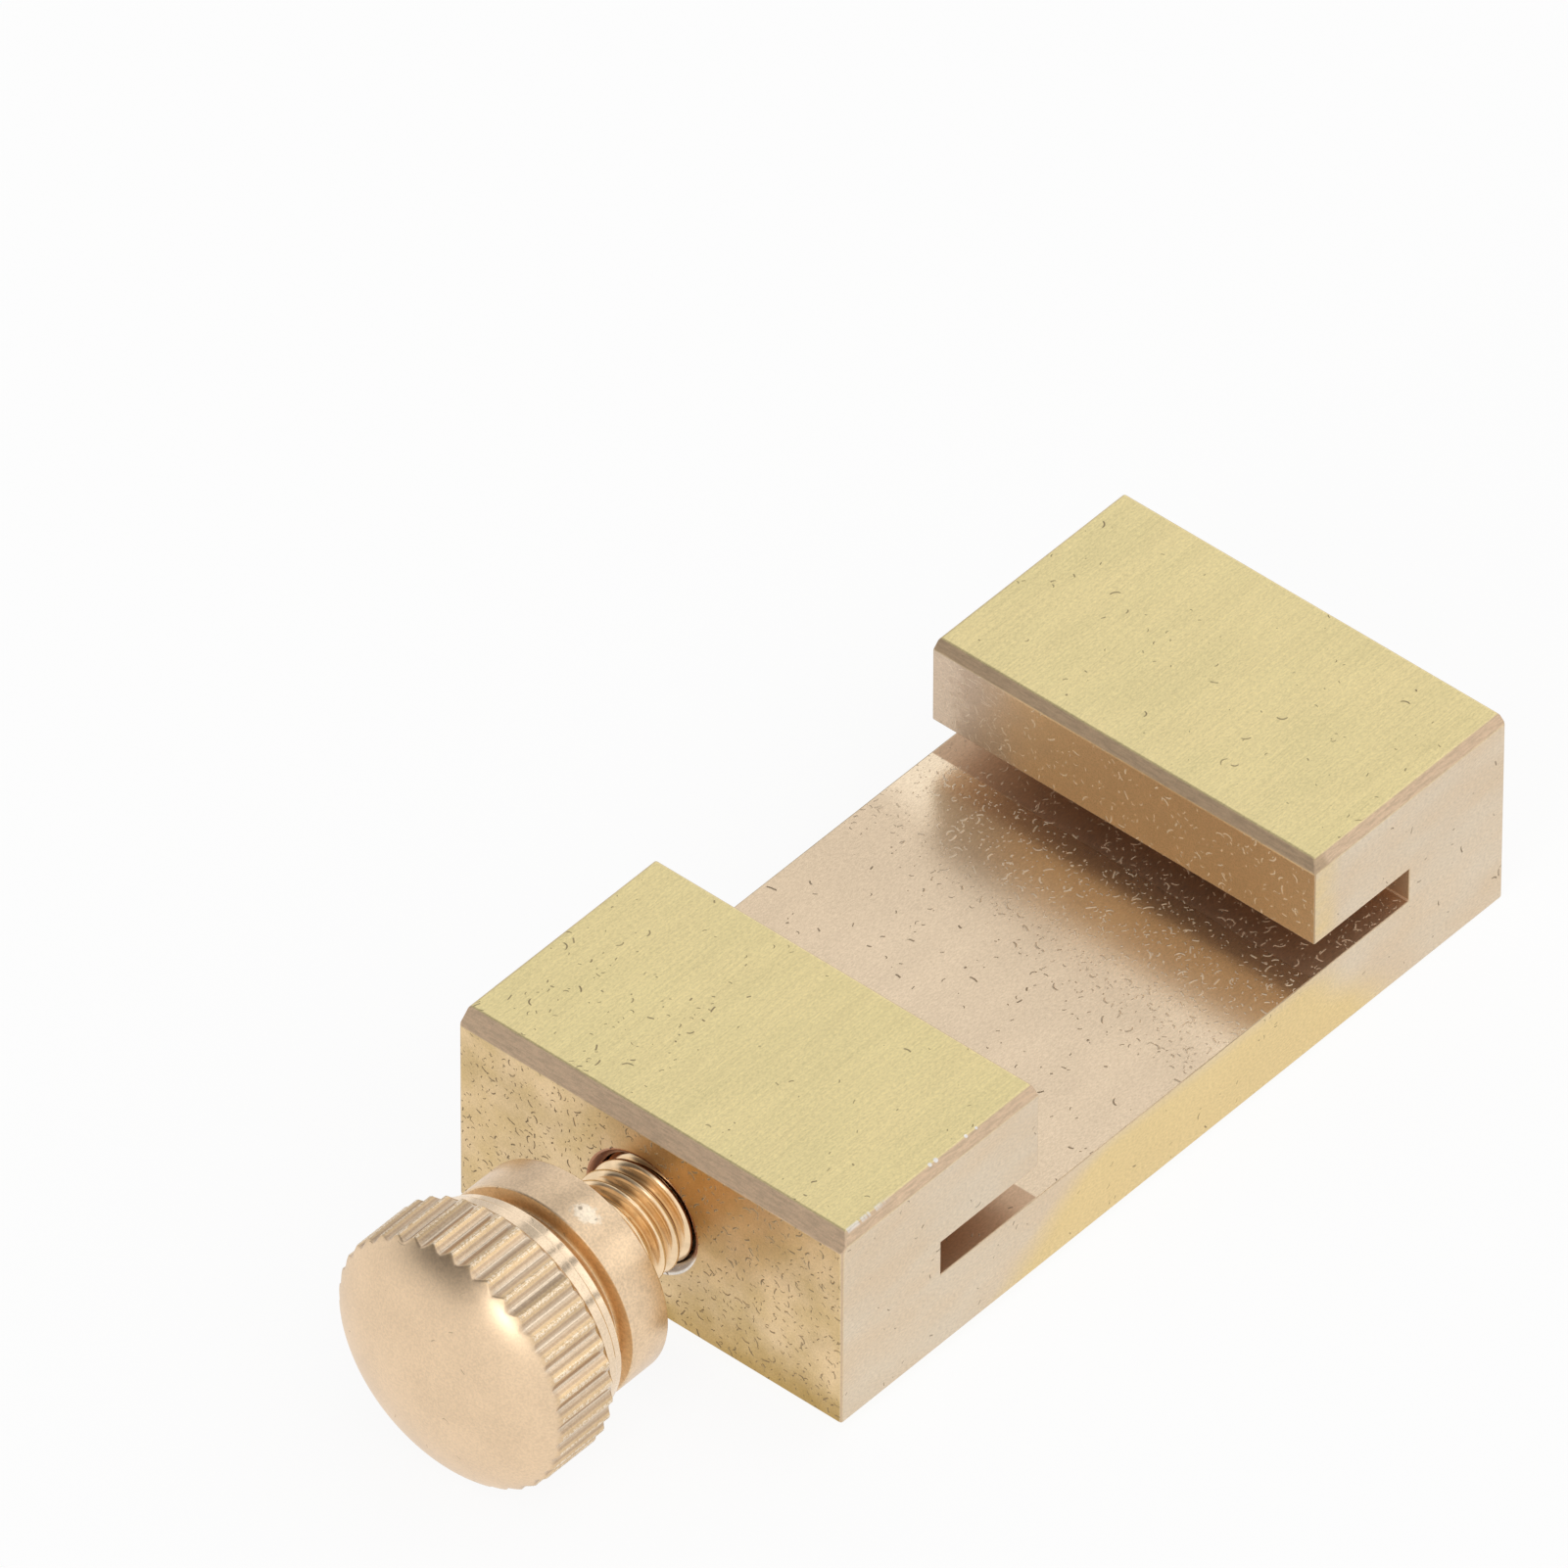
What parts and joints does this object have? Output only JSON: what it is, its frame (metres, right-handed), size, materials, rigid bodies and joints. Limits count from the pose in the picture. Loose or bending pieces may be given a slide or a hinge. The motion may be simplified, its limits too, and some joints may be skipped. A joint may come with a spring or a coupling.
{
  "type": "scribing positioning block",
  "caption": "Open-channel brass block that slides on a flat rule under two overhanging jaws, with a domed, knurled thumb screw through one end that clamps the rule's edge.",
  "frame": {"origin": "middle of the flat back, half way between the two end faces", "axes": "+X along the rule that the block slides on; +Y along the block, away from the thumb screw; +Z out of the back towards the open channel"},
  "size_m": [0.02, 0.0533, 0.0118],
  "materials": {
    "ground_brass": "satin ground brass, fine grain along the block",
    "turned_brass": "turned and lightly polished brass, warmer than the block"
  },
  "bodies": {
    "block": {"block_body": "ground_brass"},
    "point": {"screw_point": "turned_brass"},
    "screw": {"thumb_screw": "turned_brass"}
  },
  "joints": [
    {"name": "screw_travel", "type": "slide", "parent": "block", "child": "point", "axis": [0, 1, 0], "range_m": [-0.0028, 0.004]},
    {"name": "screw_turn", "type": "hinge", "parent": "point", "child": "screw", "pos_m": [-0.0004, -0.0275, 0.00507], "axis": [0, 1, 0], "range_deg": [-1260, 1800]}
  ],
  "couplings": [
    {"joint": "screw_travel", "follows": "screw_turn", "m_per_rad": 0.00012732}
  ]
}
